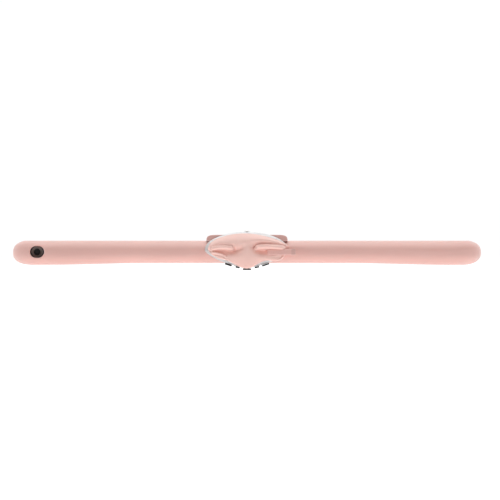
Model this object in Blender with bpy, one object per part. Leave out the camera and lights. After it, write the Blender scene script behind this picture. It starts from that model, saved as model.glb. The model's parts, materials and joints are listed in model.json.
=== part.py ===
"""A 10.1-inch tablet computer in a soft moulded case, with a bow-shaped clip on its top edge.

It lies on its back with the screen facing +Z. +X runs along its long side, and the edge that carries
the headphone socket and the clip faces -Y. Sizes below are in millimetres.
"""

import bmesh
import bpy
from math import copysign, cos, pi, sin
from mathutils import Matrix, Vector

MM = 0.001
GAP = 0.3  # clearance between neighbouring pieces

# Soft case
CASE_X, CASE_Y = 254.0, 178.0
CASE_TOP = 16.2  # of the rounded edge; the lip is cut where it has fallen to 16.0
CASE_BACK = 3.75  # underside, away from its corners
CORNER_DROP = 1.0  # how much lower the underside is at its four corner pads
CASE_CORNER = 15.0  # corner radius in plan
EDGE_DEPTH = 11.4  # how far in the rounded edge reaches
EDGE_POWER = 2.5  # exponent of the edge's superellipse
EQUATOR = 9.5  # height of the edge's outermost line
LIP_INSET = 7.2

# Bow clip
CLIP_PROUD = 8.5  # how far the bow stands in front of the case's edge
CLIP_WALL = 2.6  # how far the clip itself does
CLIP_HALF_X = 22.2
CLIP_WAIST = 10.6  # height where the clip is widest
CLIP_TOP = 20.5
CLIP_REACH = 7.8  # how far its jaws reach over the case, short of the glass
CLIP_GAP = 0.4
STRIP_HALF_X, STRIP_WIDTH, STRIP_HEIGHT = 22.0, 4.0, 2.8
STRIP_Y, STRIP_Z = 4.2, 17.7
PIN, PIN_HOLE, RIVET_HEAD = 1.4, 2.0, 0.6
TAIL = (15.4, 2.9, 3.3)  # length, thickness and height of the ribbon's straight tail
TAIL_X, TAIL_Z = 10.9, 9.75  # where it starts, and the height of its middle
FOOT, FOOT_LENGTH, FOOT_Y = 0.9, 6.4, 2.7
FEET = ((-10.1, 4.0), (-5.1, 2.4), (0.0, 4.6), (5.4, 2.6), (10.1, 4.2))  # middle and width of each

SLAB_Y = CLIP_PROUD / 2  # puts the whole object's middle at Y = 0
EDGE_Y = SLAB_Y - CASE_Y / 2  # the case's edge under the clip

# Bare tablet
TAB_X, TAB_Y = 243.0, 167.0
TAB_CORNER = 6.5
TAB_BACK = CASE_BACK + 2.0 + GAP
GLASS_TOP = 14.2
WALL, FLOOR = 1.2, 0.9
HOUSING_TOP = 12.9
GLASS_X, GLASS_Y, GLASS_T = 238.0, 162.0, 0.7
PANEL_X, PANEL_Y = 224.0, 142.0
PORT_Z = 9.8  # height of the sockets and keys

# Places on the tablet, from its own middle
JACK_X = -113.7
JACK_BORE = 3.5
USB_Y = 0.0
TRAY_Y = -38.0
TRAY_Z = 8.5
SPEAKER_Y = 42.0
MIC_Y = 16.0
POWER_Y = -52.0
VOLUME_Y = -18.0
POWER_WIDTH, VOLUME_WIDTH = 12.0, 27.0
PAD_HEIGHT = 5.2
KEY_PROUD = 0.25  # how far a key stands out of the housing
KEY_PLAY = 0.5  # room between a key's flange and the housing's wall
FLANGE, DOME = 0.7, 0.7
CAMERA = (98.0, -60.0)
FLASH = (86.0, -60.0)
FRONT_CAMERA_IN = 6.2  # from the tablet's edge

# Openings, width and height: in the soft case, then in the housing behind it
JACK_HOLE = (7.7, 6.3)
CASE_LEFT = ((USB_Y, PORT_Z, 12.4, 6.4), (TRAY_Y, TRAY_Z, 19.0, 4.8), (SPEAKER_Y, PORT_Z, 22.0, 3.4),
             (MIC_Y, PORT_Z, 2.4, 2.4))
CASE_RIGHT = ((POWER_Y, PORT_Z, POWER_WIDTH + 4, PAD_HEIGHT + 1),
              (VOLUME_Y, PORT_Z, VOLUME_WIDTH + 6, PAD_HEIGHT + 1), (SPEAKER_Y, PORT_Z, 22.0, 3.4))
CAMERA_HOLE = (26.0, 14.0)
HOUSING_JACK = 6.4
HOUSING_LEFT = ((USB_Y, PORT_Z, 9.8, 3.8), (TRAY_Y, TRAY_Z, 17.0, 2.6), (SPEAKER_Y, PORT_Z, 18.0, 1.6),
                (MIC_Y, PORT_Z, 1.2, 1.2))
HOUSING_RIGHT = ((POWER_Y, PORT_Z, POWER_WIDTH, 3.0), (VOLUME_Y, PORT_Z, VOLUME_WIDTH + 1, 3.0),
                 (SPEAKER_Y, PORT_Z, 18.0, 1.6))
HOUSING_CAMERA, HOUSING_FLASH = 9.0, 4.4

# Boards and batteries inside
BOARD = (7.6, 8.4)  # bottom and top
BOARD_Y = -53.0
SHIELD = (8.7, 9.8)
SCREWS = ((-62.0, -41.5), (-62.0, -64.5), (66.0, -41.5), (66.0, -64.5))
BATTERY = (7.25, 9.75)
BATTERY_X, BATTERY_Y = 47.0, 16.0
DISPLAY_FLEX_AT = (-30.0, -66.0)

PINK = (0.80, 0.42, 0.36)
BLACK = (0.012, 0.012, 0.013)
STEEL = (0.55, 0.55, 0.57)
FINISHES = {  # colour, roughness, how metallic
    "soft_pink": (PINK, 0.55, 0.0),
    "ribbon_pink": ((0.70, 0.31, 0.26), 0.5, 0.0),
    "milky_clip": ((0.86, 0.84, 0.82), 0.3, 0.0),
    "foot_rubber": (BLACK, 0.7, 0.0),
    "graphite": ((0.045, 0.047, 0.052), 0.45, 0.6),
    "black_plastic": (BLACK, 0.4, 0.0),
    "cover_glass": (BLACK, 0.05, 0.0),
    "screen_black": (BLACK, 0.2, 0.0),
    "diffuser": ((0.8, 0.8, 0.8), 0.4, 0.0),
    "plate_metal": (STEEL, 0.5, 0.9),
    "battery_foil": ((0.10, 0.10, 0.11), 0.35, 0.3),
    "circuit_green": ((0.02, 0.12, 0.07), 0.4, 0.0),
    "bright_steel": (STEEL, 0.3, 1.0),
    "mesh_black": (BLACK, 0.6, 0.4),
    "flash_lens": ((0.9, 0.85, 0.6), 0.3, 0.0),
    "flex_amber": ((0.45, 0.20, 0.05), 0.4, 0.0),
    "cutter": (STEEL, 1.0, 0.0),
}


def clear_scene():
    for obj in list(bpy.data.objects):
        bpy.data.objects.remove(obj)


def material(name):
    made = bpy.data.materials.get(name)
    if made is None:
        colour, roughness, metallic = FINISHES[name]
        made = bpy.data.materials.new(name)
        made.use_nodes = True
        shader = made.node_tree.nodes["Principled BSDF"]
        shader.inputs["Base Color"].default_value = (*colour, 1.0)
        shader.inputs["Roughness"].default_value = roughness
        shader.inputs["Metallic"].default_value = metallic
    return made


def empty(name, place=(0, 0, 0), parent=None):
    made = bpy.data.objects.new(name, None)
    bpy.context.scene.collection.objects.link(made)
    made.parent = parent
    made.location = Vector(place) * MM
    return made


def add(name, mesh, finish, parent=None, place=(0, 0, 0)):
    """Turns a bmesh in millimetres into an object of that name."""
    bmesh.ops.recalc_face_normals(mesh, faces=mesh.faces)
    bmesh.ops.scale(mesh, vec=(MM, MM, MM), verts=mesh.verts)
    data = bpy.data.meshes.new(name)
    mesh.to_mesh(data)
    mesh.free()
    data.materials.append(material(finish))
    data.shade_smooth()
    data.set_sharp_from_angle(angle=pi / 5)
    made = bpy.data.objects.new(name, data)
    bpy.context.scene.collection.objects.link(made)
    made.parent = parent
    made.location = Vector(place) * MM
    return made


def helper(mesh, parent, place=(0, 0, 0)):
    """A shape that only cuts, joins or trims others."""
    made = add("cutter", mesh, "cutter", parent, place)
    made.hide_render = True
    made.display_type = "WIRE"
    return made


def combine(target, *others, operation="DIFFERENCE"):
    for other in others:
        step = target.modifiers.new(operation.lower(), "BOOLEAN")
        step.operation = operation
        step.object = other
    return target


def outline(half_x, half_y, radius, side_steps=(1, 1), arc_steps=5):
    """Points round a rectangle with round corners, anticlockwise from the end of its +X side."""
    points = []
    corners = ((1, 1, 0), (-1, 1, 1), (-1, -1, 2), (1, -1, 3))
    for index, (sx, sy, quarter) in enumerate(corners):
        centre = Vector((sx * (half_x - radius), sy * (half_y - radius)))
        for step in range(arc_steps + 1):
            angle = (quarter + step / arc_steps) * pi / 2
            points.append(centre + radius * Vector((cos(angle), sin(angle))))
        nx, ny = corners[(index + 1) % 4][:2]
        following = Vector((nx * (half_x - radius), ny * (half_y - radius)))
        following += radius * Vector((cos(angle), sin(angle)))
        last = points[-1].copy()
        steps = side_steps[index % 2]
        points += [last.lerp(following, step / steps) for step in range(1, steps)]
    return points


def rings(layers):
    """A closed mesh skinned over rings of equally many points, capped at both ends."""
    mesh = bmesh.new()
    loops = [[mesh.verts.new(point) for point in layer] for layer in layers]
    for low, high in zip(loops, loops[1:]):
        for i in range(len(low)):
            j = (i + 1) % len(low)
            mesh.faces.new((low[i], low[j], high[j], high[i]))
    mesh.faces.new(reversed(loops[0]))
    mesh.faces.new(loops[-1])
    return mesh


def slab(size_x, size_y, radius, bottom, top, arc_steps=4):
    """A plate with round corners in plan."""
    points = outline(size_x / 2, size_y / 2, radius, arc_steps=arc_steps)
    return rings([[(p.x, p.y, z) for p in points] for z in (bottom, top)])


def box(size_x, size_y, size_z):
    mesh = bmesh.new()
    bmesh.ops.create_cube(mesh, size=1.0)
    bmesh.ops.scale(mesh, vec=(size_x, size_y, size_z), verts=mesh.verts)
    return mesh


def lay_along(axis, mesh):
    """Turns a shape drawn along Z so that it runs along X (its width then lies along Y) or Y."""
    turns = {
        "X": Matrix(((0, 0, 1), (1, 0, 0), (0, 1, 0))),
        "Y": Matrix(((1, 0, 0), (0, 0, -1), (0, 1, 0))),
        "Z": Matrix.Identity(3),
    }
    bmesh.ops.transform(mesh, matrix=turns[axis].to_4x4(), verts=mesh.verts)
    return mesh


def bar(axis, length, width, height, steps=16):
    """A rod along X, Y or Z with a stadium or, where width equals height, a round section."""
    radius = min(width, height) / 2
    stretch = Vector((width / 2 - radius, height / 2 - radius))
    section = []
    for step in range(steps):
        angle = 2 * pi * (step + 0.5) / steps
        point = Vector((radius * cos(angle), radius * sin(angle)))
        section.append(point + Vector((copysign(stretch.x, point.x), copysign(stretch.y, point.y))))
    return lay_along(axis, rings([[(p.x, p.y, z) for p in section] for z in (-length / 2, length / 2)]))


def smooth_step(value, start, end):
    t = min(1.0, max(0.0, (value - start) / (end - start)))
    return t * t * (3 - 2 * t)


def back_height(x, y):
    """Height of the case's underside, which swells into a pad at each corner."""
    pad = smooth_step(abs(x), 0.42 * CASE_X / 2, 0.86 * CASE_X / 2)
    pad *= smooth_step(abs(y), 0.42 * CASE_Y / 2, 0.80 * CASE_Y / 2)
    return CASE_BACK - CORNER_DROP * pad


def case_body(grow=0.0, edge_steps=5):
    """The case's outer shape as one solid, grown outwards by that much."""
    half_x, half_y = CASE_X / 2 + grow, CASE_Y / 2 + grow
    layers = []

    def ring(inset, height_at):
        radius = max(CASE_CORNER + grow - inset, 3.0)
        points = outline(half_x - inset, half_y - inset, radius, side_steps=(10, 6))
        layers.append([(p.x, p.y, height_at(p.x, p.y)) for p in points])

    for scale in (0.25, 0.6):
        flat = outline(half_x * scale, half_y * scale, 3.0, side_steps=(10, 6))
        layers.append([(p.x, p.y, back_height(p.x, p.y) - grow) for p in flat])
    for step in range(edge_steps, -1, -1):
        angle = pi / 2 * step / edge_steps
        inset = EDGE_DEPTH * (1 - max(cos(angle), 0.0) ** (2 / EDGE_POWER))
        share = sin(angle) ** (2 / EDGE_POWER)
        ring(inset, lambda x, y, s=share: EQUATOR + (back_height(x, y) - grow - EQUATOR) * s)
    for step in range(1, edge_steps + 1):
        angle = pi / 2 * step / edge_steps
        inset = EDGE_DEPTH * (1 - max(cos(angle), 0.0) ** (2 / EDGE_POWER))
        share = sin(angle) ** (2 / EDGE_POWER)
        ring(inset, lambda x, y, s=share: EQUATOR + (CASE_TOP + grow - EQUATOR) * s)
    return rings(layers)


def side_cutters(holes, side, depth, tablet, steps=16):
    """Cutters along X for the slots of one side. Each is a y, a z, a width and a height."""
    return [helper(bar("X", depth, width, height, steps), tablet, (side, y, z)) for y, z, width, height in holes]


def case_openings(tablet):
    """Cutters for the case: its cavity, screen window, ports, sound slots, keys and camera window."""
    window = slab(CASE_X - 2 * LIP_INSET, CASE_Y - 2 * LIP_INSET, 5.0, GLASS_TOP, CASE_TOP + 3)
    cavity = slab(TAB_X + 2 * GAP, TAB_Y + 2 * GAP, TAB_CORNER + GAP, TAB_BACK - GAP, GLASS_TOP + GAP)
    made = [helper(window, tablet), helper(cavity, tablet)]
    made.append(helper(bar("Y", 16, *JACK_HOLE, steps=20), tablet, (JACK_X, -CASE_Y / 2, PORT_Z)))
    made += side_cutters(CASE_LEFT, -CASE_X / 2, 16, tablet)
    made += side_cutters(CASE_RIGHT, CASE_X / 2, 16, tablet)
    middle = (CAMERA[0] + FLASH[0]) / 2
    made.append(helper(bar("Z", 8, *CAMERA_HOLE, steps=20), tablet, (middle, CAMERA[1], CASE_BACK)))
    return made


def case_shell(tablet):
    shell = add("case_shell", case_body(), "soft_pink", tablet)
    return combine(shell, *case_openings(tablet))


def rear_housing(tablet):
    tub = add("rear_housing", slab(TAB_X, TAB_Y, TAB_CORNER, TAB_BACK, HOUSING_TOP), "graphite", tablet)
    hollow = slab(TAB_X - 2 * WALL, TAB_Y - 2 * WALL, TAB_CORNER - WALL, TAB_BACK + FLOOR, HOUSING_TOP + 3)
    cuts = [helper(hollow, tablet)]
    cuts.append(helper(bar("Y", 8, HOUSING_JACK, HOUSING_JACK), tablet, (JACK_X, -TAB_Y / 2, PORT_Z)))
    cuts += side_cutters(HOUSING_LEFT, -TAB_X / 2, 8, tablet, 12)
    cuts += side_cutters(HOUSING_RIGHT, TAB_X / 2, 8, tablet, 12)
    cuts.append(helper(bar("Z", 6, HOUSING_CAMERA, HOUSING_CAMERA), tablet, (*CAMERA, TAB_BACK)))
    cuts.append(helper(bar("Z", 6, HOUSING_FLASH, HOUSING_FLASH), tablet, (*FLASH, TAB_BACK)))
    return combine(tub, *cuts)


def bezel_frame(tablet):
    ring = add("bezel_frame", slab(TAB_X, TAB_Y, TAB_CORNER, HOUSING_TOP + GAP, GLASS_TOP), "black_plastic", tablet)
    hole = slab(GLASS_X + 2 * GAP, GLASS_Y + 2 * GAP, 4.8, HOUSING_TOP - 2, GLASS_TOP + 2)
    return combine(ring, helper(hole, tablet))


def display_stack(tablet):
    """Cover glass, LCD panel, backlight and the plate that carries them, from the top down."""
    top = GLASS_TOP
    add("front_glass", slab(GLASS_X, GLASS_Y, 4.5, top - GLASS_T, top), "cover_glass", tablet)
    top -= GLASS_T + GAP
    for name, thick, finish in (("lcd_panel", 0.9, "screen_black"), ("backlight_unit", 1.0, "diffuser")):
        add(name, slab(PANEL_X, PANEL_Y, 2.0, top - thick, top), finish, tablet)
        top -= thick + GAP
    plate = add("mid_plate", slab(PANEL_X + 2, PANEL_Y + 2, 3.0, top - 0.6, top), "plate_metal", tablet)
    return combine(plate, helper(box(24, 5, 6), tablet, (*DISPLAY_FLEX_AT, top)))


def batteries(tablet):
    for name, x in (("battery_left", -BATTERY_X), ("battery_right", BATTERY_X)):
        add(name, slab(90, 96, 3.0, *BATTERY), "battery_foil", tablet, (x, BATTERY_Y, 0))


def circuit_boards(tablet):
    board = add("logic_board", slab(136, 30, 1.5, *BOARD), "circuit_green", tablet, (2, BOARD_Y, 0))
    add("usb_board", slab(14, 22, 1.0, BOARD[0], 8.2), "circuit_green", tablet, (-103, USB_Y, 0))
    add("processor_shield", slab(34, 22, 1.5, *SHIELD), "bright_steel", tablet, (22, BOARD_Y, 0))
    add("power_shield", slab(22, 18, 1.5, *SHIELD), "bright_steel", tablet, (-48, BOARD_Y, 0))
    head, shank = 0.8, 1.6
    for index, (x, y) in enumerate(SCREWS, start=1):
        screw = add(f"board_screw_{index}", bar("Z", head, 3.2, 3.2, 12), "bright_steel", tablet,
                    (x, y, BOARD[1] + GAP + head / 2))
        stem = helper(bar("Z", shank, 1.2, 1.2, 8), tablet, (x, y, BOARD[1] + GAP + head / 2 - shank / 2 + 0.2))
        combine(screw, stem, operation="UNION")
        combine(board, helper(bar("Z", 4, 1.9, 1.9, 8), tablet, (x, y, BOARD[0])))


def sockets(tablet):
    front = -TAB_Y / 2 + 0.1
    collar, block_front, depth = 4.0, 1.6, 9.0
    jack = add("headphone_jack", bar("Y", collar, 5.6, 5.6), "black_plastic", tablet,
               (JACK_X, front + collar / 2, PORT_Z))
    block = helper(box(6.4, depth, 5.0), tablet, (JACK_X, front + block_front + depth / 2, PORT_Z))
    bore = helper(bar("Y", 20, JACK_BORE, JACK_BORE), tablet, (JACK_X, front + depth - 10, PORT_Z))
    combine(jack, block, operation="UNION")
    combine(jack, bore)
    outer = -TAB_X / 2 + 0.2
    shell = 7.2
    port = add("usb_c_port", bar("X", shell, 8.9, 3.1), "bright_steel", tablet, (outer + shell / 2, USB_Y, PORT_Z))
    combine(port, helper(bar("X", 12, 8.3, 2.5), tablet, (outer, USB_Y, PORT_Z)))
    tongue = 5.2
    combine(port, helper(box(tongue, 6.6, 0.7), tablet, (outer + shell - 0.2 - tongue / 2, USB_Y, PORT_Z)),
            operation="UNION")


def speakers(tablet):
    for name, side in (("left", -1), ("right", 1)):
        x = side * (TAB_X / 2 - WALL - 0.5)
        add(f"speaker_mesh_{name}", box(0.3, 17.0, 2.4), "mesh_black", tablet, (x, SPEAKER_Y, PORT_Z))
        x -= side * (0.15 + GAP + 2.5)
        add(f"speaker_{name}", slab(5.0, 26.0, 1.2, 7.3, 12.3), "black_plastic", tablet, (x, SPEAKER_Y, 0))
    add("microphone", box(2.0, 3.0, 1.2), "bright_steel", tablet, (-TAB_X / 2 + WALL + GAP + 1.0, MIC_Y, PORT_Z - 1.6))
    add("vibration_motor", bar("Y", 10, 3.4, 2.4, 12), "bright_steel", tablet, (104, 50, 8.5))


def cameras(tablet):
    x, y = CAMERA
    ring = add("camera_ring", bar("Z", 1.6, 8.4, 8.4, 24), "bright_steel", tablet, (x, y, TAB_BACK + 0.2))
    combine(ring, helper(bar("Z", 4, 6.6, 6.6, 24), tablet, (x, y, TAB_BACK)))
    add("camera_glass", bar("Z", 0.6, 6.0, 6.0, 24), "cover_glass", tablet, (x, y, TAB_BACK + 0.3))
    add("rear_camera", slab(8.5, 8.5, 1.0, TAB_BACK + 1.3, 9.8), "black_plastic", tablet, (x, y, 0))
    add("flash_led", bar("Z", 1.0, 3.8, 3.8, 12), "flash_lens", tablet, (*FLASH, TAB_BACK + 0.5))
    add("front_camera", bar("Z", 2.6, 6.0, 6.0), "black_plastic", tablet, (0, -TAB_Y / 2 + FRONT_CAMERA_IN, 11.9))


def flexes(tablet):
    """Flat cables: display to board, board to USB board, and the strip behind the side keys."""
    add("display_flex", box(18, 0.3, 2.1), "flex_amber", tablet, (*DISPLAY_FLEX_AT, 9.75))
    corner = [(-98.5, -4), (-98.5, -39), (-54, -39), (-54, -34), (-94, -34), (-94, -4)]
    add("usb_flex", rings([[(x, y, z) for x, y in corner] for z in (9.35, 9.55)]), "flex_amber", tablet)
    strip = box(0.2, VOLUME_Y - POWER_Y + 22, 2.6)
    add("key_flex", strip, "flex_amber", tablet, (TAB_X / 2 - 4.3, (POWER_Y + VOLUME_Y) / 2, PORT_Z))


def dome_switch(name, y, depth, tablet):
    """A key's dome, whose outer face lies that far inside the housing's side."""
    add(name, bar("X", DOME, 2.6, 2.6, 12), "bright_steel", tablet, (TAB_X / 2 - depth - DOME / 2, y, PORT_Z))


def side_key(name, width, y, joint, at):
    """A hard key: its cap fills the housing's opening, and a wider flange inside keeps it in."""
    outer = TAB_X / 2 + KEY_PROUD
    flange_face = TAB_X / 2 - WALL - KEY_PLAY
    length = outer - flange_face + 0.3
    key = add(name, bar("X", length, width - 1.0, 2.2, 12), "black_plastic", joint,
              (outer - length / 2 - at[0], y - at[1], 0))
    flange = helper(box(FLANGE, width + 1.2, 3.8), joint, (flange_face - FLANGE / 2 - at[0], y - at[1], 0))
    return combine(key, flange, operation="UNION")


def key_pad(name, width, y, joint, at):
    """A moulded pad of the case over a key, cut to the case's rounded edge."""
    inner = TAB_X / 2 + KEY_PROUD + GAP
    length = CASE_X / 2 + 3 - inner
    pad = add(name, bar("X", length, width, PAD_HEIGHT), "soft_pink", joint,
              (inner + length / 2 - at[0], y - at[1], 0))
    trim = helper(case_body(grow=-0.1), joint, (-at[0], -at[1], -at[2]))
    return combine(pad, trim, operation="INTERSECT")


def power_key(tablet):
    at = (TAB_X / 2, POWER_Y, PORT_Z)
    slide = empty("power_slide", at, tablet)
    side_key("power_key", POWER_WIDTH, POWER_Y, slide, at)
    key_pad("power_pad", POWER_WIDTH + 2.8, POWER_Y, slide, at)
    dome_switch("power_switch", POWER_Y, 3.15, tablet)


def volume_key(tablet):
    at = (TAB_X / 2 - 1.5, VOLUME_Y, PORT_Z)
    pivot = empty("volume_pivot", at, tablet)
    side_key("volume_rocker", VOLUME_WIDTH, VOLUME_Y, pivot, at)
    key_pad("volume_pad", VOLUME_WIDTH + 4.4, VOLUME_Y, pivot, at)
    for name, offset in (("volume_switch_down", 9.0), ("volume_switch_up", -9.0)):
        dome_switch(name, VOLUME_Y + offset, 3.0, tablet)


def card_tray(tablet):
    """Memory card tray, its card and the reader it slides into."""
    face = -TAB_X / 2 + 0.15
    slide = empty("tray_slide", (face, TRAY_Y, TRAY_Z), tablet)
    tray = add("card_tray", bar("X", 1.0, 16.2, 2.0, 12), "graphite", slide, (0.5, 0, 0))
    combine(tray, helper(box(19, 12.6, 0.9), slide, (9.8, 0, -0.4)), operation="UNION")
    combine(tray, helper(box(15.2, 11.2, 2.0), slide, (10.4, 0, 0.85)))
    add("memory_card", box(14.6, 10.6, 0.5), "black_plastic", slide, (10.4, 0, 0.4))
    reader = add("card_reader", box(19.5, 15.0, 2.7), "bright_steel", tablet, (face + 12.4, TRAY_Y, TRAY_Z))
    combine(reader, helper(box(40, 13.4, 1.9), tablet, (face, TRAY_Y, TRAY_Z)))


def clip_outline(x):
    """Height of the clip's lower and upper outline at x, before its feet are added."""
    share = min(abs(x) / CLIP_HALF_X, 1.0)
    rise = (1 - share ** 2.1) ** (1 / 2.1)
    drop = (1 - share ** 1.45) ** (1 / 1.45)
    return CLIP_WAIST - (CLIP_WAIST - FOOT - GAP) * drop, CLIP_WAIST + (CLIP_TOP - CLIP_WAIST) * rise


def clip_blank():
    """A lens-shaped lump, round in every direction and widest at its waist."""
    columns, rows = 20, 20
    depth = (CLIP_REACH + CLIP_WALL) / 2
    layers = []
    for row in range(1, rows):
        x = -CLIP_HALF_X * cos(pi * row / rows)
        low, high = clip_outline(x)
        thick = depth * (1 - (abs(x) / CLIP_HALF_X) ** 4) ** 0.5
        layer = []
        for column in range(columns):
            turn = 2 * pi * column / columns
            y = CLIP_REACH - depth + thick * copysign(abs(cos(turn)) ** 0.55, cos(turn))
            reach = abs(sin(turn)) ** 0.55
            z = CLIP_WAIST + reach * ((high - CLIP_WAIST) if sin(turn) > 0 else (low - CLIP_WAIST))
            layer.append((x, y, z))
        layers.append(layer)
    return rings(layers)


def clip_spring(clip):
    """The milky clip: its slot grips the case's rounded edge, and a window in its top takes a strip."""
    spring = add("clip_spring", clip_blank(), "milky_clip", clip)
    slot = helper(case_body(grow=CLIP_GAP), clip, (0, CASE_Y / 2, 0))
    top, foot = STRIP_Z + STRIP_HEIGHT / 2 + GAP, EQUATOR + 3
    front, back = STRIP_Y - STRIP_WIDTH / 2 - GAP, CLIP_REACH + 2
    window = helper(box(2 * CLIP_HALF_X + 4, back - front, top - foot), clip,
                    (0, (front + back) / 2, (top + foot) / 2))
    pin_hole = helper(bar("Z", 8, PIN_HOLE, PIN_HOLE, 12), clip, (0, STRIP_Y, CLIP_TOP))
    return combine(spring, slot, window, pin_hole)


def back_strip(clip):
    strip = add("bow_back_strip", bar("Y", STRIP_WIDTH, 2 * STRIP_HALF_X, STRIP_HEIGHT, 20), "ribbon_pink", clip,
                (0, STRIP_Y, STRIP_Z))
    combine(strip, helper(bar("Z", 8, PIN_HOLE, PIN_HOLE, 12), clip, (0, STRIP_Y, STRIP_Z)))


def clip_rivet(clip):
    """Pin through the clip's bridge and the strip, with a low round head on top."""
    foot, seat = STRIP_Z - STRIP_HEIGHT / 2 + GAP, CLIP_TOP + GAP
    length = seat - foot + RIVET_HEAD / 3
    rivet = add("clip_rivet", bar("Z", length, PIN, PIN, 12), "bright_steel", clip, (0, STRIP_Y, foot + length / 2))
    head = helper(bar("Z", RIVET_HEAD, 3.0, 3.0), clip, (0, STRIP_Y, seat + RIVET_HEAD / 2))
    combine(rivet, head, operation="UNION")


def clip_feet(clip):
    """Five rubber feet that follow the lower jaw's outline, the middle one lowest."""
    for index, (x, width) in enumerate(FEET, start=1):
        slope = clip_outline(x + 0.5)[0] - clip_outline(x - 0.5)[0] if x else 0.0
        foot = bar("Y", FOOT_LENGTH, width, FOOT, 12)
        bmesh.ops.transform(foot, matrix=Matrix.Rotation(-slope, 4, "Y"), verts=foot.verts)
        height = clip_outline(x)[0] - GAP - FOOT / 2 - 0.02 * width * bool(x)
        add(f"clip_foot_{index}", foot, "foot_rubber", clip, (x, FOOT_Y, height))


def curve_through(points, steps):
    """Points on a smooth curve (Catmull-Rom) through the given ones, that many steps per stretch."""
    points = [Vector(point) for point in points]
    ends = [2 * points[0] - points[1]] + points + [2 * points[-1] - points[-2]]
    made = []
    for before, start, end, after in zip(ends, ends[1:], ends[2:], ends[3:]):
        for step in range(steps):
            t = step / steps
            made.append(0.5 * (2 * start + t * (end - before)
                               + t * t * (2 * before - 5 * start + 4 * end - after)
                               + t ** 3 * (3 * start - 3 * end + after - before)))
    return made + [points[-1]]


def puff(stations, back, power=2.5, columns=14, steps=2):
    """A soft fold along X. Each station is an x, a lowest and highest z, and its front's y."""
    layers = []
    for x, low, high, front in curve_through(stations, steps):
        layer = []
        for column in range(columns):
            turn = 2 * pi * column / columns
            y = (front + back) / 2 + (back - front) / 2 * copysign(abs(cos(turn)) ** (2 / power), cos(turn))
            z = (low + high) / 2 + (high - low) / 2 * copysign(abs(sin(turn)) ** (2 / power), sin(turn))
            layer.append((x, y, z))
        layers.append(layer)
    return rings(layers)


# Each fold's stations along X: x, lowest and highest z, and the y of its front
FOLDS = {
    "bow_loop_left": ((-21.4, 12.2, 13.6, -4.0), (-20.4, 11.8, 14.8, -5.2), (-16.5, 11.7, 16.7, -6.8),
                      (-11.5, 11.8, 18.1, -7.6), (-7.0, 12.6, 19.0, -7.2), (-5.8, 13.2, 18.8, -6.6)),
    "bow_loop_right": ((5.8, 13.2, 18.6, -6.6), (7.0, 12.7, 18.7, -7.2), (10.8, 12.5, 17.5, -7.6),
                       (15.0, 12.6, 16.1, -6.6), (19.5, 12.8, 14.6, -5.0), (21.2, 13.1, 13.8, -4.0)),
    "bow_knot": ((-5.5, 12.8, 18.4, -6.6), (-4.6, 12.1, 19.1, -7.3), (0.0, 11.7, 19.6, -7.9),
                 (4.6, 12.1, 19.0, -7.3), (5.5, 12.8, 18.3, -6.6)),
    "bow_centre_fold": ((-10.9, 7.2, 9.6, -4.6), (-9.5, 5.0, 10.8, -6.0), (-5.0, 2.5, 11.4, -7.8),
                        (0.0, 0.9, 11.4, -CLIP_PROUD), (5.0, 2.5, 11.4, -7.8), (9.3, 5.0, 10.8, -6.0),
                        (10.5, 7.2, 9.6, -4.6)),
    "bow_tail_left": ((-20.6, 8.8, 10.4, -4.2), (-19.5, 7.6, 11.1, -5.0), (-15.0, 5.6, 11.4, -6.4),
                      (-12.0, 4.6, 11.2, -6.0), (-11.3, 5.4, 10.4, -5.2)),
    "bow_fold_right": ((11.2, 4.7, 7.6, -4.6), (12.5, 4.6, 7.8, -5.2), (15.5, 5.2, 7.8, -5.0),
                       (18.0, 6.6, 7.7, -4.2)),
}


def bow(clip):
    """The ribbon's puffed folds and its straight tail, in front of the clip."""
    back = -CLIP_WALL - GAP
    for name, stations in FOLDS.items():
        add(name, puff(stations, back), "ribbon_pink", clip)
    length, thick, high = TAIL
    tail = lay_along("X", slab(thick, high, 0.7, 0, length))
    add("bow_tail_right", tail, "ribbon_pink", clip, (TAIL_X, back - thick / 2, TAIL_Z))


def build():
    clear_scene()
    tablet = empty("tablet", (0, SLAB_Y, 0))
    case_shell(tablet)
    rear_housing(tablet)
    bezel_frame(tablet)
    display_stack(tablet)
    batteries(tablet)
    circuit_boards(tablet)
    sockets(tablet)
    speakers(tablet)
    cameras(tablet)
    flexes(tablet)
    power_key(tablet)
    volume_key(tablet)
    card_tray(tablet)
    clip = empty("clip_slide", (0, EDGE_Y, 0))
    clip_spring(clip)
    back_strip(clip)
    clip_rivet(clip)
    clip_feet(clip)
    bow(clip)


build()
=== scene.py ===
"""Looks of a tablet computer in a soft case with a bow-shaped clip: fine meshes, materials, light, camera.

Lengths are in millimetres until a mesh is made, which is in metres. +X runs along the tablet's long side,
-Y is the edge with the headphone socket and the clip, and +Z comes out of the screen.
"""

import json
from math import copysign, cos, pi, radians, sin, sqrt

import bmesh
import bpy
import numpy as np
from mathutils import Matrix, Vector

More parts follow.
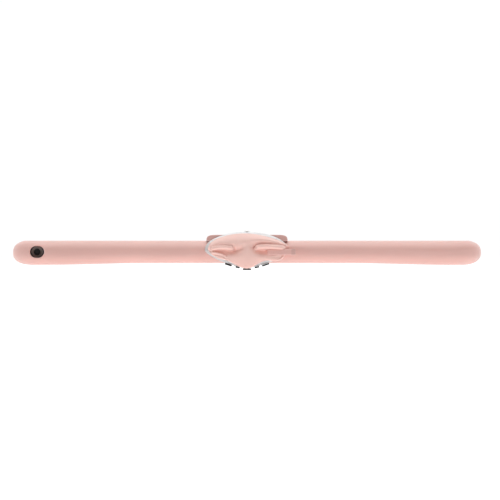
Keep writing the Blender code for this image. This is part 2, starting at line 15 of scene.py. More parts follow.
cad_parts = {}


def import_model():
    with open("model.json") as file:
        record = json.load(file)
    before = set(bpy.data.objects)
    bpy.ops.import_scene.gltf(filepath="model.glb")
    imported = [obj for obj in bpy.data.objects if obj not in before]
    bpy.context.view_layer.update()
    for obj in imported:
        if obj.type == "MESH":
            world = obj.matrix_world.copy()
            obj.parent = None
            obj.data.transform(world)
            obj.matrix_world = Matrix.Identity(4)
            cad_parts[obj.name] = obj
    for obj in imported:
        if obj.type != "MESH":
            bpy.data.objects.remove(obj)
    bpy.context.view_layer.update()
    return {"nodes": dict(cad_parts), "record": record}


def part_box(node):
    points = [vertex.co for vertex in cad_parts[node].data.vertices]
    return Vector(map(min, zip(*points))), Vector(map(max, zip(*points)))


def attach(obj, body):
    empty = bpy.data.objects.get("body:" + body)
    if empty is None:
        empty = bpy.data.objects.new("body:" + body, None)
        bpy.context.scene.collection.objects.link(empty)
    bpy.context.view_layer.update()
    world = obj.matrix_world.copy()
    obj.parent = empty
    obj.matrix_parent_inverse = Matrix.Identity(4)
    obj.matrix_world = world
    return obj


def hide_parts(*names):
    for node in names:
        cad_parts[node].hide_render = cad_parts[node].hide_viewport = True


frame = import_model()

MM = 0.001


def box_mm(node):
    """Lowest and highest corner of a CAD node, in millimetres."""
    low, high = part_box(node)
    return low / MM, high / MM


def centre_mm(node):
    """The middle of a CAD node's box, in millimetres."""
    low, high = box_mm(node)
    return (low + high) / 2


CASE_LOW, CASE_HIGH = box_mm("case_shell")
HALF_X = (CASE_HIGH.x - CASE_LOW.x) / 2
HALF_Y = (CASE_HIGH.y - CASE_LOW.y) / 2
MID_Y = (CASE_HIGH.y + CASE_LOW.y) / 2
EDGE_Y = CASE_LOW.y
GLASS_LOW, GLASS_HIGH = box_mm("front_glass")
HOUSING_LOW, HOUSING_HIGH = box_mm("rear_housing")

# The case's shape, as the CAD part has it
CASE_TOP = 16.2
CASE_BACK = 3.75
CORNER_DROP = 1.0  # how much lower the underside is at its corners
EQUATOR = 9.5  # height where the edge stands out furthest
EDGE_DEPTH = 11.4  # how far in the edge's rounding starts
EDGE_POWER = 2.5  # of the superellipse that the edge follows
CASE_CORNER = 15.0
BACK_CORNER = 3.5
CAVITY_CORNER = 6.8
WINDOW_CORNER = 5.0
LIP_INSET = 7.2
LIP_UNDER = 14.5
LIP_ROUND = 0.6
FIT_GAP = 0.3  # between the tablet and the case

# Openings in the case's edge: the edge, the CAD node in the middle, width and height, rounding of the rim
OPENINGS = (
    ("front", "headphone_jack", (7.7, 6.3), 0.7),
    ("left", "usb_c_port", (12.4, 6.4), 0.7),
    ("left", "speaker_mesh_left", (22.0, 3.4), 0.7),
    ("left", "card_tray", (19.0, 4.8), 0.7),
    ("right", "power_pad", (16.0, 6.2), 0.5),
    ("right", "volume_pad", (33.0, 6.2), 0.5),
    ("right", "speaker_mesh_right", (22.0, 3.4), 0.7),
    ("left", "microphone", (2.4, 2.4), 0.5),
)
CAMERA_WINDOW = (26.0, 14.0)
CAMERA_WINDOW_SHIFT = 6.0  # from the camera towards the flash

ACTIVE_X, ACTIVE_Y = 216.6, 135.4  # the display's lit area


# ---------------------------------------------------------------- meshes

def mesh_from(name, points, faces):
    """A closed mesh in metres from points in millimetres, its faces turned outwards."""
    data = bpy.data.meshes.new(name)
    data.from_pydata([tuple(c * MM for c in point) for point in points], [], faces)
    shell = bmesh.new()
    shell.from_mesh(data)
    bmesh.ops.recalc_face_normals(shell, faces=shell.faces)
    shell.to_mesh(data)
    shell.free()
    return data


def link(name, data):
    """A new object in the scene."""
    made = bpy.data.objects.new(name, data)
    bpy.context.scene.collection.objects.link(made)
    return made


def skin(name, layers, ends="flat"):
    """An object skinned over rings of equally many points: ends closed flat, by a "fan", or "joined"."""
    count, rings = len(layers[0]), len(layers)
    points = [tuple(point) for layer in layers for point in layer]
    faces = []
    for row in range(rings if ends == "joined" else rings - 1):
        low, high = row * count, (row + 1) % rings * count
        faces += [(low + i, low + (i + 1) % count, high + (i + 1) % count, high + i) for i in range(count)]
    for first in (0, (rings - 1) * count):
        ring = [first + i for i in range(count)]
        if ends == "flat":
            faces.append(tuple(ring))
        elif ends == "fan":
            middle = np.mean([points[i] for i in ring], axis=0)
            points.append(tuple(middle))
            faces += [(ring[i], ring[(i + 1) % count], len(points) - 1) for i in range(count)]
    return link(name, mesh_from(name, points, faces))


def settle(made, angle=32.0, weighted=True):
    """Applies the object's modifiers, and shades it smooth except at sharp edges."""
    depsgraph = bpy.context.evaluated_depsgraph_get()
    data = bpy.data.meshes.new_from_object(made.evaluated_get(depsgraph))
    made.modifiers.clear()
    made.data = data
    data.shade_smooth()
    data.set_sharp_from_angle(angle=radians(angle))
    if weighted:
        normals = made.modifiers.new("normals", "WEIGHTED_NORMAL")
        normals.keep_sharp = True
        normals.weight = 60
    return made


def cut(target, cutters, operation="DIFFERENCE"):
    """Cuts the shapes out of the target for good, and removes them."""
    for cutter in cutters:
        step = target.modifiers.new("cut", "BOOLEAN")
        step.operation = operation
        step.object = cutter
    settle(target, weighted=False)
    for cutter in cutters:
        bpy.data.objects.remove(cutter)
    return target


def dress(made, finish, body, replaced=()):
    """Gives a piece its material and its body, and hides the CAD nodes it stands for."""
    made.data.materials.clear()
    made.data.materials.append(finish)
    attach(made, body)
    if replaced:
        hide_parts(*replaced)
    return made


def rounded_plan(half_x, half_y, radius, long_steps=44, short_steps=32, arc_steps=12):
    """Points round a rectangle with round corners, evenly many for any size."""
    points = []
    corners = ((1, 1), (-1, 1), (-1, -1), (1, -1))
    for quarter, (sx, sy) in enumerate(corners):
        cx, cy = sx * (half_x - radius), sy * (half_y - radius)
        for step in range(arc_steps + 1):
            angle = (quarter + step / arc_steps) * pi / 2
            points.append((cx + radius * cos(angle), cy + radius * sin(angle)))
        next_x, next_y = corners[(quarter + 1) % 4]
        x, y = points[-1]
        x_end = x if quarter % 2 else next_x * (half_x - radius)
        y_end = next_y * (half_y - radius) if quarter % 2 else y
        steps = short_steps if quarter % 2 else long_steps
        for step in range(1, steps):
            points.append((x + (x_end - x) * step / steps, y + (y_end - y) * step / steps))
    return points


def stadium(width, height, offset=0.0, steps=48):
    """Points round a slot with round ends, grown by the offset."""
    radius = min(width, height) / 2
    extra_u, extra_v = width / 2 - radius, height / 2 - radius
    points = []
    for step in range(steps):
        angle = 2 * pi * (step + 0.5) / steps
        u, v = (radius + offset) * cos(angle), (radius + offset) * sin(angle)
        points.append((u + copysign(extra_u, u), v + copysign(extra_v, v)))
    return points


def fillet(radius):
    """(offset, depth) pairs of a quarter round from a hole's wall out to the surface it opens on."""
    return [(radius * (1 - cos(a)), radius * (1 - sin(a))) for a in np.linspace(0, pi / 2, 6)]


# ---------------------------------------------------------------- materials

def blank_material(name):
    """A new material, with its nodes, links and shader."""
    made = bpy.data.materials.new(name)
    made.use_nodes = True
    nodes = made.node_tree.nodes
    return made, nodes, made.node_tree.links, nodes["Principled BSDF"]


def set_sockets(shader, sockets):
    """Sets the shader's own values by socket name."""
    for name, value in sockets.items():
        shader.inputs[name].default_value = value


def object_noise(nodes, links, period, detail=2.0, stretch=(1, 1, 1)):
    """Noise that stays on the object, with features of about that many millimetres."""
    place = nodes.new("ShaderNodeTexCoord")
    mapping = nodes.new("ShaderNodeMapping")
    mapping.inputs["Scale"].default_value = stretch
    noise = nodes.new("ShaderNodeTexNoise")
    noise.inputs["Scale"].default_value = 1 / (period * MM)
    noise.inputs["Detail"].default_value = detail
    links.new(place.outputs["Object"], mapping.inputs["Vector"])
    links.new(mapping.outputs["Vector"], noise.inputs["Vector"])
    return noise.outputs["Fac"]


def ranged(nodes, links, value, low, high, source=(0.3, 0.7)):
    """The value, spread from low to high."""
    spread = nodes.new("ShaderNodeMapRange")
    spread.inputs["From Min"].default_value, spread.inputs["From Max"].default_value = source
    spread.inputs["To Min"].default_value, spread.inputs["To Max"].default_value = low, high
    links.new(value, spread.inputs["Value"])
    return spread.outputs["Result"]


def mixed(nodes, links, factor, first, second):
    """The first colour turning into the second; either may be a socket."""
    mix = nodes.new("ShaderNodeMix")
    mix.data_type = "RGBA"
    links.new(factor, mix.inputs["Factor"])
    for socket, colour in ((mix.inputs["A"], first), (mix.inputs["B"], second)):
        if isinstance(colour, bpy.types.NodeSocket):
            links.new(colour, socket)
        else:
            socket.default_value = (*colour, 1.0)
    return mix.outputs["Result"]


def bumped(nodes, links, height, shader, depth):
    """Adds a bump of that depth in millimetres to the shader."""
    bump = nodes.new("ShaderNodeBump")
    bump.inputs["Strength"].default_value = 1.0
    bump.inputs["Distance"].default_value = depth * MM
    links.new(height, bump.inputs["Height"])
    links.new(bump.outputs["Normal"], shader.inputs["Normal"])


def moulded(name, colour, roughness, grain=0.25, depth=0.006, mottle=0.04, **sockets):
    """A moulded or cast surface: slow colour drift, fine grain in its relief, and roughness that varies."""
    made, nodes, links, shader = blank_material(name)
    drift = object_noise(nodes, links, 26.0, 3.0)
    fine = object_noise(nodes, links, grain)
    darker = tuple(c * (1 - mottle) for c in colour)
    lighter = tuple(min(1.0, c * (1 + mottle)) for c in colour)
    slow = mixed(nodes, links, ranged(nodes, links, drift, 0, 1), darker, lighter)
    grained = mixed(nodes, links, ranged(nodes, links, fine, 0, 0.25), slow, darker)
    links.new(grained, shader.inputs["Base Color"])
    links.new(ranged(nodes, links, fine, roughness - 0.05, roughness + 0.05), shader.inputs["Roughness"])
    bumped(nodes, links, fine, shader, depth)
    set_sockets(shader, sockets)
    return made


def silicone(name, colour, depth_share=0.22):
    """Soft silicone: light goes a little way in, and dust gives it a faint bloom at grazing angles."""
    made = moulded(name, colour, 0.52, grain=0.22, depth=0.004, mottle=0.025)
    set_sockets(made.node_tree.nodes["Principled BSDF"], {
        "Subsurface Weight": depth_share,
        "Subsurface Radius": (1.0, 0.65, 0.55),
        "Subsurface Scale": 1.2 * MM,
        "Sheen Weight": 0.30,
        "Sheen Roughness": 0.40,
        "Specular IOR Level": 0.55,
    })
    return made


def screen_glass():
    """Cover glass over a dark panel: black print round a faintly lighter active area, and a few smudges."""
    made, nodes, links, shader = blank_material("cover_glass")
    place = nodes.new("ShaderNodeTexCoord")
    parts = nodes.new("ShaderNodeSeparateXYZ")
    links.new(place.outputs["Object"], parts.inputs["Vector"])
    inside = None
    for axis, half, middle in (("X", ACTIVE_X / 2, 0.0), ("Y", ACTIVE_Y / 2, MID_Y)):
        gap = nodes.new("ShaderNodeMath")
        gap.operation = "COMPARE"
        gap.inputs[1].default_value = middle * MM
        gap.inputs[2].default_value = half * MM
        links.new(parts.outputs[axis], gap.inputs[0])
        if inside is None:
            inside = gap.outputs["Value"]
        else:
            both = nodes.new("ShaderNodeMath")
            both.operation = "MULTIPLY"
            links.new(inside, both.inputs[0])
            links.new(gap.outputs["Value"], both.inputs[1])
            inside = both.outputs["Value"]
    black = mixed(nodes, links, inside, (0.004, 0.004, 0.0045), (0.013, 0.014, 0.017))
    links.new(black, shader.inputs["Base Color"])
    smudge = object_noise(nodes, links, 34.0, 5.0, (1.0, 1.7, 1.0))
    links.new(ranged(nodes, links, smudge, 0.035, 0.10, (0.45, 0.75)), shader.inputs["Roughness"])
    set_sockets(shader, {"IOR": 1.52, "Coat Weight": 0.4, "Coat Roughness": 0.03})
    return made


def metal(name, colour, roughness, stretch=(1, 12, 12), **sockets):
    """Metal with fine brushing or blasting in its relief and roughness."""
    made, nodes, links, shader = blank_material(name)
    brush = object_noise(nodes, links, 0.5, 4.0, stretch)
    brushed = mixed(nodes, links, ranged(nodes, links, brush, 0, 1), colour, tuple(c * 0.86 for c in colour))
    links.new(brushed, shader.inputs["Base Color"])
    links.new(ranged(nodes, links, brush, roughness - 0.07, roughness + 0.07), shader.inputs["Roughness"])
    bumped(nodes, links, brush, shader, 0.003)
    set_sockets(shader, {"Metallic": 1.0, **sockets})
    return made


def circuit_board():
    """Green solder mask over copper runs."""
    made, nodes, links, shader = blank_material("circuit_green")
    place = nodes.new("ShaderNodeTexCoord")
    bricks = nodes.new("ShaderNodeTexBrick")
    bricks.inputs["Scale"].default_value = 260.0
    bricks.inputs["Mortar Size"].default_value = 0.06
    bricks.inputs["Color1"].default_value = (0.010, 0.085, 0.045, 1)
    bricks.inputs["Color2"].default_value = (0.014, 0.110, 0.060, 1)
    bricks.inputs["Mortar"].default_value = (0.035, 0.200, 0.105, 1)
    links.new(place.outputs["Object"], bricks.inputs["Vector"])
    links.new(bricks.outputs["Color"], shader.inputs["Base Color"])
    links.new(ranged(nodes, links, object_noise(nodes, links, 1.0), 0.3, 0.42), shader.inputs["Roughness"])
    bumped(nodes, links, bricks.outputs["Fac"], shader, 0.02)
    return made


def woven_mesh():
    """Blackened wire cloth: a fine grid in the relief."""
    made, nodes, links, shader = blank_material("mesh_black")
    place = nodes.new("ShaderNodeTexCoord")
    grid = nodes.new("ShaderNodeTexVoronoi")
    grid.inputs["Scale"].default_value = 1 / (0.45 * MM)
    grid.inputs["Randomness"].default_value = 0.0
    links.new(place.outputs["Object"], grid.inputs["Vector"])
    dots = ranged(nodes, links, grid.outputs["Distance"], 0, 1, (0.2, 0.6))
    wires = mixed(nodes, links, dots, (0.006, 0.006, 0.007), (0.10, 0.10, 0.11))
    links.new(wires, shader.inputs["Base Color"])
    bumped(nodes, links, dots, shader, 0.08)
    set_sockets(shader, {"Metallic": 0.8, "Roughness": 0.45})
    return made


PINK = (0.835, 0.510, 0.458)
RIBBON = (0.930, 0.610, 0.545)
# The ribbon pink darkened for the tail and the back strip: painted shade, as their fronts turn away from the
# light
SHADED_RIBBON = (0.790, 0.475, 0.430)

# The slots of the CAD part by name, then the finishes that only the fine pieces have
MATERIALS = {
    "soft_pink": silicone("soft_pink", PINK),
    "ribbon_pink": silicone("ribbon_pink", RIBBON, 0.10),
    "milky_clip": moulded("milky_clip", (0.985, 0.93, 0.91), 0.35, grain=0.6, depth=0.003, mottle=0.01,
                          **{"Subsurface Weight": 1.0, "Subsurface Radius": (1.0, 0.95, 0.92),
                             "Subsurface Scale": 9.0 * MM, "Coat Weight": 0.1}),
    "foot_rubber": moulded("foot_rubber", (0.018, 0.013, 0.012), 0.62, grain=0.18, depth=0.012, mottle=0.2),
    "graphite": metal("graphite", (0.10, 0.10, 0.108), 0.42, (1, 1, 1)),
    "cover_glass": screen_glass(),
    "black_plastic": moulded("black_plastic", (0.020, 0.019, 0.019), 0.38, grain=0.12, depth=0.005,
                             mottle=0.15),
    "screen_black": moulded("screen_black", (0.010, 0.010, 0.012), 0.22, grain=0.5, depth=0.001),
    "diffuser": moulded("diffuser", (0.84, 0.84, 0.81), 0.45, grain=0.8, depth=0.003),
    "plate_metal": metal("plate_metal", (0.55, 0.55, 0.56), 0.42, (1, 20, 1)),
    "battery_foil": moulded("battery_foil", (0.055, 0.055, 0.060), 0.34, grain=5.0, depth=0.12,
                            mottle=0.12, **{"Metallic": 0.35}),
    "circuit_green": circuit_board(),
    "bright_steel": metal("bright_steel", (0.62, 0.61, 0.60), 0.24),
    "mesh_black": woven_mesh(),
    "flash_lens": moulded("flash_lens", (0.88, 0.80, 0.50), 0.18, grain=0.9, depth=0.05,
                          **{"Coat Weight": 0.8}),
    "flex_amber": moulded("flex_amber", (0.42, 0.17, 0.035), 0.30, grain=1.5, depth=0.004,
                          **{"Coat Weight": 0.3}),
    "lens_glass": moulded("lens_glass", (0.006, 0.008, 0.014), 0.04, grain=8.0, depth=0.001, mottle=0.3,
                          **{"Coat Weight": 1.0, "Coat Roughness": 0.02, "IOR": 1.6}),
    "socket_grey": moulded("socket_grey", (0.230, 0.210, 0.195), 0.36, grain=0.1, depth=0.004, mottle=0.1),
    "bore_black": moulded("bore_black", (0.010, 0.009, 0.008), 0.5, grain=0.1, depth=0.004, mottle=0.1),
    # painted shade: the ribbon pink, darker, for the tail and the back strip
    "ribbon_painted_shade": silicone("ribbon_painted_shade", SHADED_RIBBON, 0.05),
    # darker still for the tail's folded end: painted shade
    "ribbon_hem_painted_shade": silicone("ribbon_hem_painted_shade", tuple(c * 0.86 for c in SHADED_RIBBON), 0.05),
    "rivet_nickel": metal("rivet_nickel", (0.93, 0.92, 0.90), 0.5, **{"Metallic": 0.55}),
    "contact_gold": metal("contact_gold", (0.83, 0.60, 0.24), 0.25),
}


# ---------------------------------------------------------------- the soft case

def smooth_step(value, start, end):
    """0 up to the start, 1 from the end on, and a smooth rise between them."""
    t = np.clip((value - start) / (end - start), 0.0, 1.0)
    return t * t * (3 - 2 * t)


def back_height(x, y):
    """Height of the case's underside at that place, from the tablet's middle."""
    pad = smooth_step(abs(x), 0.42 * HALF_X, 0.86 * HALF_X)
    pad = pad * smooth_step(abs(y), 0.42 * HALF_Y, 0.80 * HALF_Y)
    return CASE_BACK - CORNER_DROP * pad


def edge_inset(x, y, height):
    """How far the rounded edge has drawn in at that height."""
    reach = CASE_TOP - EQUATOR if height > EQUATOR else EQUATOR - back_height(x, y)
    share = min(1.0, abs(height - EQUATOR) / reach)
    return EDGE_DEPTH * (1 - (1 - share ** EDGE_POWER) ** (1 / EDGE_POWER))


def plan_corner(inset, above):
    """Corner radius in plan: above the equator it closes in on the screen window's own."""
    if above:
        return CASE_CORNER - inset * (CASE_CORNER - WINDOW_CORNER) / LIP_INSET
    return max(CASE_CORNER - inset, BACK_CORNER)


def on_edge(edge, along, height, inward=0.0):
    """The case's surface point on the front, left or right edge, moved inward by that much."""
    half, across = (HALF_X, HALF_Y) if edge == "front" else (HALF_Y, HALF_X)
    x, y = (along, -HALF_Y) if edge == "front" else (HALF_X, along)
    inset = edge_inset(x, y, height)
    radius = plan_corner(inset, height > EQUATOR)
    beyond = min(radius, max(0.0, abs(along) - (half - inset - radius)))
    out = across - inset - radius + sqrt(radius ** 2 - beyond ** 2) - inward
    if edge == "front":
        return (along, MID_Y - out, height)
    return (out if edge == "right" else -out, MID_Y + along, height)


def mouth_steps(lip, depth):
    """(offset, inward) pairs of a cutter: a straight wall, a rounded rim, and a wide stretch outside."""
    return [(0, depth)] + fillet(lip) + [(lip + 0.3, -4.0)]


def mouth(edge, along, height, size, lip):
    """A cutter for a slot through the case's edge whose rim is rounded over to the surface."""
    layers = []
    for offset, inward in mouth_steps(lip, 8.0):
        outline = stadium(*size, offset)
        layers.append([on_edge(edge, along + u, height + v, inward) for u, v in outline])
    return skin("mouth", layers)


def back_mouth(x, y, size):
    """The same, up through the case's back."""
    layers = []
    for offset, inward in mouth_steps(0.7, 3.0):
        ring = [(x + u, y + v) for u, v in stadium(*size, offset)]
        layers.append([(px, MID_Y + py, back_height(px, py) + inward) for px, py in ring])
    return skin("mouth", layers)


def case_skin():
    """The case as one closed skin: underside, rounded edge, lip, the wall of the window, and the cavity."""
    layers = []

    def ring(inset, radius, height_at):
        plan = rounded_plan(HALF_X - inset, HALF_Y - inset, radius)
        layers.append([(x, y + MID_Y, height_at(x, y)) for x, y in plan])

    for share in (0.04, 0.2, 0.36, 0.5, 0.62, 0.72, 0.80, 0.87, 0.94):
        plan = rounded_plan((HALF_X - EDGE_DEPTH) * share, (HALF_Y - EDGE_DEPTH) * share, BACK_CORNER * share)
        layers.append([(x, y + MID_Y, back_height(x, y)) for x, y in plan])
    steps = 16
    for step in range(steps, -1, -1):
        angle = pi / 2 * step / steps
        inset = EDGE_DEPTH * (1 - max(cos(angle), 0.0) ** (2 / EDGE_POWER))
        share = sin(angle) ** (2 / EDGE_POWER)
        ring(inset, plan_corner(inset, False),
             lambda x, y, s=share: EQUATOR + (back_height(x, y) - EQUATOR) * s)
    for step in range(1, steps + 1):
        angle = pi / 2 * step / steps
        inset = EDGE_DEPTH * (1 - cos(angle) ** (2 / EDGE_POWER))
        if inset >= LIP_INSET - LIP_ROUND:
            break
        share = sin(angle) ** (2 / EDGE_POWER)
        ring(inset, plan_corner(inset, True), lambda x, y, s=share: EQUATOR + (CASE_TOP - EQUATOR) * s)

    share = (1 - (1 - (LIP_INSET - LIP_ROUND) / EDGE_DEPTH) ** EDGE_POWER) ** (1 / EDGE_POWER)
    rim = EQUATOR + (CASE_TOP - EQUATOR) * share
    for angle in np.linspace(0, pi / 2, 6):
        inset = LIP_INSET - LIP_ROUND * (1 - sin(angle))
        ring(inset, plan_corner(inset, True), lambda x, y, z=rim - LIP_ROUND * (1 - cos(angle)): z)
    cavity = HALF_X - HOUSING_HIGH.x - FIT_GAP
    bed = HOUSING_LOW.z - FIT_GAP
    for inset, radius, z in ((LIP_INSET, WINDOW_CORNER, LIP_UNDER), (cavity, CAVITY_CORNER, LIP_UNDER),
                             (cavity, CAVITY_CORNER, bed), (cavity + 30, 4.0, bed)):
        ring(inset, radius, lambda x, y, z=z: z)
    return skin("soft_case", layers)


def opening_place(edge, node):
    """How far along its edge, and how high, the opening for that CAD node is."""
    middle = centre_mm(node)
    along = middle.x if edge == "front" else middle.y - MID_Y
    return along, EQUATOR + 0.3 if node == "microphone" else middle.z


def soft_case():
    """The case with all its openings."""
    cutters = [mouth(edge, *opening_place(edge, node), size, lip) for edge, node, size, lip in OPENINGS]
    camera = centre_mm("camera_ring")
    cutters.append(back_mouth(camera.x - CAMERA_WINDOW_SHIFT, camera.y - MID_Y, CAMERA_WINDOW))
    case = cut(case_skin(), cutters)
    settle(case)
    dress(case, MATERIALS["soft_pink"], "tablet", ["case_shell"])


def side_pad(name, size, body, replaced):
    """A key's pad: it fills its slot but for a groove, follows the case's edge, and swells a little."""
    along, height = opening_place("right", replaced)
    inner = box_mm(replaced)[0].x
    layers = [[(inner, MID_Y + along + u, height + v) for u, v in stadium(*size)]]
    for angle in np.linspace(0, pi / 2, 6):
        spread, depth = 0.8 * (1 - cos(angle)), 0.8 * (1 - sin(angle))
        layers.append([on_edge("right", along + u, height + v, depth) for u, v in stadium(*size, -spread)])
    for offset in (-1.2, -1.7, -2.2, -2.5):
        swell = 0.22 * smooth_step(-offset, 0.8, 2.5)
        layers.append([on_edge("right", along + u, height + v, -swell) for u, v in stadium(*size, offset)])
    dress(settle(skin(name, layers)), MATERIALS["soft_pink"], body, [replaced])


def raised_mark(name, shift, strokes):
    """A plus or minus sign moulded on the volume pad, that far from its middle."""
    along, height = opening_place("right", "volume_pad")
    bars = []
    for index, (length, tall) in enumerate(strokes):
        layers = []
        for offset, inward in ((0, 0.4), (0, -0.25), (-0.08, -0.36), (-0.2, -0.40)):
            outline = stadium(length, tall, offset, 24)
            layers.append([on_edge("right", along + shift + u, height + v, inward) for u, v in outline])
        bars.append(skin(f"{name}_{index}", layers))
    mark = bars[0]
    if len(bars) > 1:
        cut(mark, bars[1:], "UNION")
    mark.name = name
    dress(settle(mark), MATERIALS["soft_pink"], "volume_button")


# ---------------------------------------------------------------- refined copies of CAD nodes

def refined(name, node, finish, body, bevel, lift=0.0, flatten=1.0):
    """A copy of a CAD node with rounded edges, which can be raised and made thinner."""
    data = frame["nodes"][node].data.copy()
    bottom = box_mm(node)[0].z
    place = Matrix.Translation((0, 0, (bottom + lift) * MM)) @ Matrix.Diagonal((1, 1, flatten, 1))
    data.transform(place @ Matrix.Translation((0, 0, -bottom * MM)))
    shell = bmesh.new()
    shell.from_mesh(data)
    bmesh.ops.remove_doubles(shell, verts=shell.verts, dist=1e-6)
    bmesh.ops.dissolve_limit(shell, angle_limit=radians(1.0), verts=shell.verts, edges=shell.edges)
    shell.to_mesh(data)
    shell.free()
    made = link(name, data)
    soften = made.modifiers.new("soften", "BEVEL")
    soften.width = bevel * MM
    soften.segments = 2
    soften.limit_method = "ANGLE"
    soften.angle_limit = radians(40)
    soften.use_clamp_overlap = True
    settle(made)
    dress(made, MATERIALS[finish], body, [node])


def turned(name, profile, axis, place, steps=64, ends="fan"):
    """A turned piece: (radius, distance along the axis) pairs spun about X, Y or Z."""
    layers = []
    for radius, along in profile:
        ring = []
        for step in range(steps):
            angle = 2 * pi * step / steps
            a, b = radius * cos(angle), radius * sin(angle)
            point = {"X": (along, a, b), "Y": (a, along, b), "Z": (a, b, along)}[axis]
            ring.append(tuple(p + q for p, q in zip(point, place)))
        layers.append(ring)
    return skin(name, layers, ends)


# ---------------------------------------------------------------- the tablet

def cover_glass():
    """The glass, its top edge rounded as polished glass is."""
    half_x, half_y = (GLASS_HIGH.x - GLASS_LOW.x) / 2, (GLASS_HIGH.y - GLASS_LOW.y) / 2
    top, bottom, round_by = GLASS_HIGH.z, GLASS_LOW.z, 0.35
    layers = []
    for inset, z in [(0.1, bottom), (0, bottom + 0.1)] + [
            (round_by * (1 - cos(a)), top - round_by * (1 - sin(a))) for a in np.linspace(0, pi / 2, 6)]:
        plan = rounded_plan(half_x - inset, half_y - inset, 4.5 - inset, 2, 2, 10)
        layers.append([(x, y + MID_Y, z) for x, y in plan])
    glass = settle(skin("cover_glass", layers))
    dress(glass, MATERIALS["cover_glass"], "tablet", ["front_glass"])


def front_camera():
    """A dark lens, slightly crowned, in the glass."""
    middle = centre_mm("front_camera")
    top = GLASS_HIGH.z
    window = turned("front_camera_window", [
        (1.55, top - 0.3), (1.55, top + 0.01), (1.35, top + 0.03), (0.9, top + 0.045), (0.4, top + 0.05)],
        "Z", (middle.x, middle.y, 0))
    dress(settle(window), MATERIALS["lens_glass"], "tablet")


def rear_camera():
    """On the back: a polished ring, the lens in it, and the flash's ribbed lens."""
    low, high = box_mm("camera_ring")
    x, y = (low.x + high.x) / 2, (low.y + high.y) / 2
    outer, bottom, top = (high.x - low.x) / 2, low.z, high.z
    ring = turned("camera_ring_turned", [
        (3.3, top), (outer, top), (outer, bottom + 0.35), (outer - 0.1, bottom + 0.12),
        (outer - 0.35, bottom), (3.65, bottom), (3.42, bottom + 0.08), (3.3, bottom + 0.3)],
        "Z", (x, y, 0), 72, "joined")
    dress(settle(ring), MATERIALS["bright_steel"], "tablet", ["camera_ring"])
    low, high = box_mm("camera_glass")
    lens = turned("camera_lens", [
        (2.95, high.z), (2.95, low.z + 0.1), (2.8, low.z), (1.5, low.z), (1.42, low.z + 0.12),
        (1.30, low.z + 0.06), (0.8, low.z - 0.02), (0.3, low.z - 0.05)], "Z", (x, y, 0))
    dress(settle(lens, 25), MATERIALS["lens_glass"], "tablet", ["camera_glass"])
    low, high = box_mm("flash_led")
    profile = [(1.85, high.z), (1.85, low.z + 0.1)]
    for radius in np.linspace(1.7, 0.3, 8):
        profile += [(radius, low.z), (radius - 0.06, low.z + 0.10)]
    flash = turned("flash_lens", profile, "Z", ((low.x + high.x) / 2, (low.y + high.y) / 2, 0))
    dress(settle(flash, 50), MATERIALS["flash_lens"], "tablet", ["flash_led"])


def headphone_socket():
    """Socket face: a flanged collar, a chamfer, and the dark bore."""
    middle, face = centre_mm("headphone_jack"), box_mm("headphone_jack")[0].y
    place = (middle.x, 0, middle.z)
    collar = turned("headphone_socket", [
        (3.15, face + 3.6), (3.15, face + 0.25), (3.05, face), (2.95, face - 0.05), (2.75, face - 0.05),
        (2.55, face + 0.08), (1.9, face + 0.85), (1.78, face + 1.0), (1.75, face + 3.5)], "Y", place)
    dress(settle(collar, 40), MATERIALS["socket_grey"], "tablet", ["headphone_jack"])
    bore = turned("headphone_bore", [
        (1.85, face + 3.7), (1.85, face + 1.1), (1.65, face + 1.15), (1.6, face + 3.4), (0.02, face + 3.45)],
        "Y", place)
    dress(settle(bore, 40), MATERIALS["bore_black"], "tablet")


def usb_socket():
    """The port's shell, and two rows of contacts on its tongue."""
    refined("usb_socket", "usb_c_port", "bright_steel", "tablet", 0.08)
    middle, mouth_x = centre_mm("usb_c_port"), box_mm("usb_c_port")[0].x
    contacts, pitch, length = 12, 0.5, 2.2
    points, faces = [], []
    for side in (-1, 1):
        for index in range(contacts):
            y = middle.y + (index - (contacts - 1) / 2) * pitch
            first = len(points)
            for dx in (0.0, length):
                for dy, dz in ((-0.13, 0.30), (0.13, 0.30), (0.13, 0.37), (-0.13, 0.37)):
                    points.append((mouth_x + 2.0 + dx, y + dy, middle.z + side * dz))
            faces += [(first, first + 1, first + 2, first + 3), (first + 7, first + 6, first + 5, first + 4)]
            faces += [(first + i, first + 4 + i, first + 4 + (i + 1) % 4, first + (i + 1) % 4)
                      for i in range(4)]
    rows = link("usb_contacts", mesh_from("usb_contacts", points, faces))
    dress(rows, MATERIALS["contact_gold"], "tablet")


def card_tray():
    """The tray with the hole for its eject pin, and the card in it."""
    refined("sliding_tray", "card_tray", "graphite", "tray", 0.10)
    low, high = box_mm("card_tray")
    pin = turned("tray_pin_hole", [
        (0.45, low.x + 0.5), (0.45, low.x - 0.01), (0.36, low.x - 0.02), (0.30, low.x + 0.02)],
        "X", (0, high.y - 2.4, (low.z + high.z) / 2), 24)
    dress(settle(pin), MATERIALS["black_plastic"], "tray")
    refined("memory_card_body", "memory_card", "black_plastic", "tray", 0.06)


# ---------------------------------------------------------------- the bow clip

CLIP_WALL = EDGE_Y - box_mm("clip_spring")[0].y
CLIP_BACK_Y = EDGE_Y - CLIP_WALL - 0.1  # plane that the bow's folds stand on
BOW_FRONT = box_mm("bow_centre_fold")[0].y
BOW_DEPTH = CLIP_BACK_Y - BOW_FRONT

